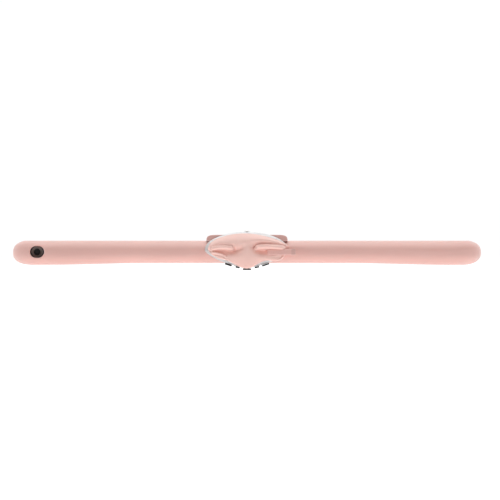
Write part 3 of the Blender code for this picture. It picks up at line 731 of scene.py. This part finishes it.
# The bow seen from the front: its outline, and the lines its folds follow
BOW_TOP = ((-21.2, 12.0), (-20.6, 13.4), (-18.0, 15.9), (-12.5, 18.3), (-6.4, 19.5), (0.0, 19.8), (5.8, 19.2),
           (12.5, 17.6), (18.0, 15.7), (21.2, 13.9), (22.8, 12.2))
BOW_BASE = ((-21.2, 11.1), (-19.6, 9.0), (-16.0, 6.6), (-10.6, 5.0), (-6.0, 2.7), (-3.0, 1.3), (0.0, 0.8),
            (3.0, 1.5), (6.6, 3.7), (10.0, 5.0), (16.0, 4.9), (18.8, 5.8), (20.4, 7.6), (21.6, 10.2),
            (22.8, 11.5))
ROLL_LEFT = ((-21.4, 10.9), (-18.0, 11.9), (-14.0, 12.4), (-10.0, 12.3), (-7.2, 11.8), (-5.3, 10.5))
ROLL_RIGHT = ((1.9, 9.9), (3.4, 11.2), (5.4, 12.3), (9.0, 12.8), (16.6, 12.5), (23.0, 11.7))
RUFFLES_LEFT = (((-20.2, 9.8), (-16.0, 9.1), (-12.3, 8.0), (-9.6, 5.9)),
                ((-14.8, 6.2), (-12.6, 6.0), (-10.4, 5.4)))
RUFFLES_RIGHT = (((9.0, 6.6), (12.0, 7.3), (20.0, 8.3)),
                 ((15.2, 4.7), (18.0, 5.9), (20.8, 8.2)))

BOW_HALF = 22.3  # half its width where its relief has sunk to nothing
SEAM_Z = 12.6  # lower edge of the upper puff, in the middle
PUFF_DEPTH = 5.3
ROLL_DEPTH = 4.2
BELLY_HALF = 11.2
BELLY_Z = 8.6  # where the belly is widest
KNOT_Z = 10.6  # where it stands out furthest
BOW_BOTTOM = 0.8
HEM = 2.4  # the ribbon tail's folded end


def follow(points, x):
    """Heights of a smooth line through the points, held at its ends."""
    xs = np.array([p[0] for p in points])
    zs = np.array([p[1] for p in points])
    slopes = np.gradient(zs, xs)
    i = np.clip(np.searchsorted(xs, x) - 1, 0, len(xs) - 2)
    width = xs[i + 1] - xs[i]
    t = np.clip((x - xs[i]) / width, 0.0, 1.0)
    return ((2 * t ** 3 - 3 * t ** 2 + 1) * zs[i] + (t ** 3 - 2 * t ** 2 + t) * width * slopes[i]
            + (3 * t ** 2 - 2 * t ** 3) * zs[i + 1] + (t ** 3 - t ** 2) * width * slopes[i + 1])


def soft_max(a, b, reach):
    """The larger of the two, with the crease between them rounded over that reach."""
    near = np.maximum(reach - abs(a - b), 0.0) / reach
    return np.maximum(a, b) + near ** 2 * reach / 4


def dome(share):
    """A round hump over -1 to 1 that goes on steeply downwards outside it."""
    return np.sqrt(np.maximum(1 - share ** 2, 0.0)) - 3.0 * np.maximum(abs(share) - 1, 0.0)


def roll(x, z, line, radius, stand, bulge, soft_end):
    """A tube of ribbon along the line; its ends grow thin and sink in over soft_end."""
    start, end = line[0][0], line[-1][0]
    along = smooth_step(x, start - 0.2, start + soft_end) * (1 - smooth_step(x, end - soft_end, end + 0.2))
    thin = radius * (0.35 + 0.65 * along)
    return (along - 1) * 2.0 + (0.45 + 0.55 * along) * (stand + bulge * dome((z - follow(line, x)) / thin))


def upper_puff(x, z, top, ends):
    """The puff along the bow's top, whose right half curls under into a crease."""
    rightward = smooth_step(x, -5.5, 4.5)
    seam = np.where(x < 0, follow(ROLL_LEFT, x), follow(ROLL_RIGHT, x)) + 1.0 + 0.25 * rightward
    seam = SEAM_Z + (seam - SEAM_Z) * smooth_step(abs(x), 2.0, 7.0)
    middle = seam + (0.30 + 0.28 * rightward) * (top - seam)
    under = 1.5 - 0.8 * rightward
    rise = np.where(z > middle, (z - middle) / (top - middle), (z - middle) / (middle - seam + under))
    lean = 1 - 0.28 * np.clip((z - middle) / (top - middle), 0.0, 1.0)
    return PUFF_DEPTH * ends * lean * dome(rise)


def belly(x, z):
    """The belly, whose top narrows into the puff between the two rolls."""
    drop = np.clip((z - BOW_BOTTOM) / (BELLY_Z - BOW_BOTTOM), 0.0, 1.0)
    width = BELLY_HALF * (1 - (1 - drop) ** 1.6) ** 0.8 + 0.05
    width = width - 6.2 * smooth_step(z, BELLY_Z - 0.6, BELLY_Z + 3.4)
    height = np.sqrt(1 - np.clip((KNOT_Z - z) / (KNOT_Z - BOW_BOTTOM + 0.2), 0.0, 1.0) ** 2)
    height = height * (1 - 0.20 * smooth_step(z, KNOT_Z, 15.0)) * (1 - smooth_step(z, 14.2, 18.0))
    flank = 1 - (x / width) ** 2
    rounded = np.sign(flank) * abs(flank) ** (0.5 + 0.6 * smooth_step(z, 6.5, 9.5))
    return BOW_DEPTH * height * rounded


def bow_relief(x, z):
    """How far the bow stands forward at each place, in millimetres, from 0 at its outline."""
    top, base = follow(BOW_TOP, x), follow(BOW_BASE, x)
    ends = np.sqrt(np.maximum(1 - abs(x / BOW_HALF) ** 2.6, 0.0))
    relief = ends * (1.0 + 1.9 * smooth_step(-z, -11.8, -7.2))
    relief = soft_max(relief, upper_puff(x, z, top, ends), 1.0)
    relief = soft_max(relief, belly(x, z), 1.8)
    relief = soft_max(relief, roll(x, z, ROLL_LEFT, 1.20, ROLL_DEPTH * ends + 0.2, 1.7, 3.0), 0.7)
    relief = soft_max(relief, roll(x, z, ROLL_RIGHT, 1.20, ROLL_DEPTH * ends + 0.5, 1.7, 4.0), 0.9)
    for line in RUFFLES_LEFT:
        relief = soft_max(relief, roll(x, z, line, 0.85, 1.9, 1.2, 1.6), 0.4)
    for line in RUFFLES_RIGHT:
        relief = soft_max(relief, roll(x, z, line, 0.80, 1.3, 1.1, 1.6), 0.4)
    level = np.clip(2 * (z - base) / (top - base) - 1, -1.0, 1.0)
    return np.maximum(relief, 0.0) * np.sqrt(1 - abs(level) ** np.where(level > 0, 7, 14))


def bow_front():
    """The bow's folds as one soft moulding: its relief over a grid that fits its outline, and a back."""
    columns, rows = 190, 96
    low_x, high_x = BOW_TOP[0][0], BOW_TOP[-1][0]
    across = (low_x + high_x) / 2 - (high_x - low_x) / 2 * np.cos(pi * np.arange(columns + 1) / columns)
    upward = 0.5 - 0.5 * np.cos(pi * np.arange(rows + 1) / rows)
    x = np.repeat(across, rows + 1)
    top, base = follow(BOW_TOP, x), follow(BOW_BASE, x)
    z = base + (top - base) * np.tile(upward, columns + 1)
    front = np.column_stack([x, CLIP_BACK_Y - bow_relief(x, z), z])
    behind = np.column_stack([x, np.full_like(x, CLIP_BACK_Y + 0.35), z])
    stride, offset = rows + 1, len(front)
    faces = []
    for column in range(columns):
        for row in range(rows):
            a, b = column * stride + row, (column + 1) * stride + row
            faces.append((a, b, b + 1, a + 1))
            faces.append((offset + a, offset + a + 1, offset + b + 1, offset + b))
    rim = [c * stride for c in range(columns + 1)]
    rim += [columns * stride + r for r in range(1, rows + 1)]
    rim += [c * stride + rows for c in range(columns - 1, -1, -1)]
    rim += [r for r in range(rows - 1, 0, -1)]
    faces += [(rim[i], rim[(i + 1) % len(rim)], offset + rim[(i + 1) % len(rim)], offset + rim[i])
              for i in range(len(rim))]
    bow = link("bow_folds", mesh_from("bow_folds", np.vstack([front, behind]), faces))
    settle(bow, 75, weighted=False)
    dress(bow, MATERIALS["ribbon_pink"], "bow_clip",
          ["bow_loop_left", "bow_loop_right", "bow_knot", "bow_centre_fold", "bow_tail_left",
           "bow_fold_right"])


def ribbon_tail():
    """The flat ribbon end on the right: a rounded bar along X whose last stretch is folded on itself and
    coloured darker, as painted shade.
    """
    low, high = box_mm("bow_tail_right")
    middle, half = (low + high) / 2, (high - low) / 2
    length = high.x - low.x
    fold = length - HEM
    profile = [(0.0, 0.55), (0.12, 0.85), (0.45, 1.0)]
    profile += [(along, 1.0) for along in np.linspace(1.2, fold - 0.35, 14)]
    profile += [(fold - 0.1, 0.985), (fold + 0.08, 0.93), (fold + 0.3, 1.03), (fold + 0.6, 1.05)]
    profile += [(length - 0.9, 1.05), (length - 0.45, 1.02), (length - 0.12, 0.90), (length, 0.62)]
    layers = []
    for along, size in profile:
        shape = rounded_plan(half.y * size, half.z * (0.4 + 0.6 * size), 0.7 * size, 4, 4, 6)
        layers.append([(low.x + along, middle.y + a, middle.z + b) for a, b in shape])
    tail = settle(skin("ribbon_tail", layers), 40)
    # the tail takes the darker ribbon colour, which is painted shade
    dress(tail, MATERIALS["ribbon_painted_shade"], "bow_clip", ["bow_tail_right"])
    tail.data.materials.append(MATERIALS["ribbon_hem_painted_shade"])
    # faces on the folded end take the darker copy, which is painted shade
    for face in tail.data.polygons:
        face.material_index = int(face.center.x > (high.x - HEM) * MM)


def back_strip():
    """The strip over the case's top edge, with rounded ends."""
    low, high = box_mm("bow_back_strip")
    middle = (low + high) / 2
    half_x, half_y = (high.x - low.x) / 2, (high.y - low.y) / 2
    bottom, top = low.z - 0.4, high.z
    layers = []
    steps = 60
    for step in range(steps + 1):
        x = middle.x - half_x * cos(pi * step / steps)
        near_end = (1 - min(1.0, abs(x / half_x)) ** 14) ** (1 / 3.0)
        high_z = bottom + (top - bottom) * max(near_end, 0.04)
        half_z = max((high_z - bottom) / 2, 0.3)
        shape = rounded_plan(half_y * (0.75 + 0.25 * near_end), half_z, 0.28, 4, 4, 6)
        layers.append([(x, middle.y + a, (high_z + bottom) / 2 + b) for a, b in shape])
    strip = settle(skin("back_strip", layers), 40)
    # the strip takes the darker ribbon colour, which is painted shade
    dress(strip, MATERIALS["ribbon_painted_shade"], "bow_clip", ["bow_back_strip"])


CLIP_HALF_X = 22.2
CLIP_LEFT_REACH = 1.035  # the left end stands out a little further
CLIP_WAIST = 10.6  # height where it is widest
CLIP_TOP = 20.5
CLIP_BASE = 1.2
CLIP_REACH = 7.8  # how far its jaws reach over the case
CLIP_GAP = 0.35


def clip_outline(x):
    """Its lowest and highest point there."""
    share = min(abs(x) / CLIP_HALF_X, 1.0)
    rise = (1 - share ** 2.1) ** (1 / 2.1)
    drop = (1 - share ** 1.45) ** (1 / 1.45)
    return CLIP_WAIST - (CLIP_WAIST - CLIP_BASE) * drop, CLIP_WAIST + (CLIP_TOP - CLIP_WAIST) * rise


def clip_blank():
    """The clip before the case's edge is cut out of it: a flattened ball with full sides."""
    columns, rows = 56, 72
    layers = []
    for row in range(1, rows):
        x = -CLIP_HALF_X * cos(pi * row / rows)
        low, high = clip_outline(x)
        share = abs(x) / CLIP_HALF_X
        front = CLIP_WALL * (1 - share ** 12) ** 0.5
        back = CLIP_REACH * (1 - share ** 4) ** 0.5
        layer = []
        for column in range(columns):
            turn = 2 * pi * column / columns
            y = (back - front) / 2 + (back + front) / 2 * copysign(abs(cos(turn)) ** 0.55, cos(turn))
            reach = abs(sin(turn)) ** 0.55
            z = CLIP_WAIST + reach * ((high - CLIP_WAIST) if sin(turn) > 0 else (low - CLIP_WAIST))
            layer.append((x if x > 0 else x * CLIP_LEFT_REACH, EDGE_Y + y, z))
        layers.append(layer)
    return skin("milky_clip", layers)


def clip_slot():
    """The case's edge where the clip sits, grown by the gap, as a cutter."""
    quarter = np.linspace(0, pi / 2, 14)
    section = []
    upward, downward = CASE_TOP + CLIP_GAP - EQUATOR, CASE_BACK - CLIP_GAP - EQUATOR
    for reach, angles in ((upward, quarter), (downward, quarter[::-1])):
        for angle in angles:
            inset = (EDGE_DEPTH + CLIP_GAP) * (1 - max(cos(angle), 0.0) ** (2 / EDGE_POWER))
            section.append((EDGE_Y - CLIP_GAP + inset, EQUATOR + reach * sin(angle) ** (2 / EDGE_POWER)))
    upper, lower = section[:len(quarter)], section[len(quarter):]
    inner = EDGE_Y + 30
    loop = upper + [(inner, upper[-1][1]), (inner, lower[0][1])] + lower[:-1]
    return skin("slot", [[(x, y, z) for y, z in loop] for x in (-30, 30)])


def block(name, low, high):
    """A plain box to cut with."""
    corners = [(low[0], low[1]), (high[0], low[1]), (high[0], high[1]), (low[0], high[1])]
    return skin(name, [[(x, y, z) for x, y in corners] for z in (low[2], high[2])])


def milky_clip():
    """The clip: its slot and the window for the back strip cut out, then evened and softened."""
    low, high = box_mm("bow_back_strip")
    window = block("window", (-30, low.y - 0.3, EQUATOR + 3), (30, EDGE_Y + 12, high.z + 0.3))
    clip = cut(clip_blank(), [clip_slot(), window])
    remesh = clip.modifiers.new("even", "REMESH")
    remesh.mode = "VOXEL"
    remesh.voxel_size = 0.22 * MM
    soften = clip.modifiers.new("soften", "SMOOTH")
    soften.factor = 0.5
    soften.iterations = 12
    settle(clip, 60, weighted=False)
    dress(clip, MATERIALS["milky_clip"], "bow_clip", ["clip_spring"])


def clip_feet():
    """Five rubber feet; all but the middle one stand a little higher and thinner, along the clip's curve."""
    for index, lift in enumerate((0.35, 0.32, 0.0, 0.32, 0.35), start=1):
        refined(f"rubber_foot_{index}", f"clip_foot_{index}", "foot_rubber", "bow_clip", 0.16, lift=lift,
                flatten=0.95 if lift else 1.0)


def rivet():
    """A short pin with a domed head."""
    low, high = box_mm("clip_rivet")
    x, y, radius = (low.x + high.x) / 2, (low.y + high.y) / 2, (high.x - low.x) / 2
    head = high.z - 0.6
    pin = turned("rivet_pin", [
        (0.7, low.z), (0.7, head), (radius - 0.15, head), (radius, head + 0.12), (radius - 0.03, head + 0.25),
        (radius * 0.8, head + 0.44), (radius * 0.5, head + 0.56), (radius * 0.2, high.z)], "Z", (x, y, 0), 40)
    dress(settle(pin, 40), MATERIALS["rivet_nickel"], "bow_clip", ["clip_rivet"])


# ---------------------------------------------------------------- studio

TABLE_GLOW = 0.74
TABLE_HALF = 8000.0
TENT_STRENGTH = 1.0
# (sine of the height above the horizon, brightness) of the tent, towards the camera and behind the object
FRONT_TENT = ((-1.0, 1.0), (0.0, 0.15), (0.05, 0.01), (0.50, 0.01), (0.73, 0.95), (1.0, 1.50))
BACK_TENT = ((-1.0, 1.0), (0.0, 1.02), (0.5, 1.05), (1.0, 1.15))
FRAMED_WIDTH = 271.35  # what the frame takes in, in the plane of the case's front corners
LENS, SENSOR = 800.0, 36.0
VIEW_X, VIEW_Z = 1.63, 10.84


def floor():
    """A pale light table: milky acrylic, lit from below, so that nearly no shadow falls on it."""
    made, nodes, links, shader = blank_material("light_table")
    fine = ranged(nodes, links, object_noise(nodes, links, 3.0, 4.0), 0, 1)
    links.new(mixed(nodes, links, fine, (0.47, 0.47, 0.47), (0.49, 0.49, 0.49)), shader.inputs["Base Color"])
    set_sockets(shader, {"Roughness": 0.9, "Specular IOR Level": 0.1, "Emission Color": (1, 1, 1, 1),
                         "Emission Strength": TABLE_GLOW})
    corners = [(sx * TABLE_HALF, sy * TABLE_HALF, 0.0) for sx, sy in ((-1, -1), (1, -1), (1, 1), (-1, 1))]
    paper = link("studio_floor", mesh_from("studio_floor", corners, [(0, 1, 2, 3)]))
    paper.data.materials.append(made)


def world():
    """A bright tent round the object, with a dimmer stretch low in front of it."""
    made = bpy.data.worlds.new("studio")
    made.use_nodes = True
    nodes, links = made.node_tree.nodes, made.node_tree.links
    place = nodes.new("ShaderNodeTexCoord")
    parts = nodes.new("ShaderNodeSeparateXYZ")
    links.new(place.outputs["Generated"], parts.inputs["Vector"])
    ramps = []
    for stops in (FRONT_TENT, BACK_TENT):
        ramp = nodes.new("ShaderNodeValToRGB")
        links.new(ranged(nodes, links, parts.outputs["Z"], 0, 1, (-1, 1)), ramp.inputs["Fac"])
        while len(ramp.color_ramp.elements) < len(stops):
            ramp.color_ramp.elements.new(0.5)
        for element, (height, grey) in zip(ramp.color_ramp.elements, stops):
            element.position = (height + 1) / 2
            element.color = (grey, grey, grey, 1)
        ramps.append(ramp.outputs["Color"])
    behind = ranged(nodes, links, parts.outputs["Y"], 0, 1, (0.05, 0.5))
    background = nodes["Background"]
    links.new(mixed(nodes, links, behind, *ramps), background.inputs["Color"])
    background.inputs["Strength"].default_value = TENT_STRENGTH
    bpy.context.scene.world = made


def overhead_light():
    """A soft box above the tablet."""
    data = bpy.data.lights.new("overhead", "AREA")
    data.shape = "RECTANGLE"
    data.size, data.size_y = 1.4, 0.9
    data.energy = 5.5
    made = link("overhead", data)
    made.location = Vector((0, 60, 1300)) * MM
    aim = Vector((0, 0, 10)) * MM - made.location
    made.rotation_euler = aim.to_track_quat("-Z", "Y").to_euler()


def camera():
    """Level with the tablet's edge, square to it, and far enough away to show no perspective in its face."""
    data = bpy.data.cameras.new("camera")
    data.sensor_width = SENSOR
    data.lens = LENS
    data.clip_start, data.clip_end = 0.05, 20.0
    made = link("camera", data)
    made.location = Vector((VIEW_X, EDGE_Y + CASE_CORNER - FRAMED_WIDTH * LENS / SENSOR, VIEW_Z)) * MM
    made.rotation_euler = (pi / 2, 0, 0)
    bpy.context.scene.camera = made


def carried_over():
    """CAD nodes that stay: each takes the material of its slot."""
    for part in frame["record"]["subparts"]:
        node = frame["nodes"][part["node"]]
        if node.hide_render:
            continue
        node.data.materials.clear()
        node.data.materials.append(MATERIALS[part["material_slot"]])


camera()
world()
floor()
overhead_light()
soft_case()
side_pad("power_button_pad", (14.8, 5.2), "power_button", "power_pad")
side_pad("volume_button_pad", (31.4, 5.2), "volume_button", "volume_pad")
raised_mark("volume_plus", -11.0, ((2.4, 0.5), (0.5, 2.4)))
raised_mark("volume_minus", 11.0, ((2.4, 0.5),))
cover_glass()
front_camera()
rear_camera()
headphone_socket()
usb_socket()
card_tray()
bow_front()
ribbon_tail()
back_strip()
milky_clip()
clip_feet()
rivet()
carried_over()

bpy.context.scene.view_settings.view_transform = "Standard"
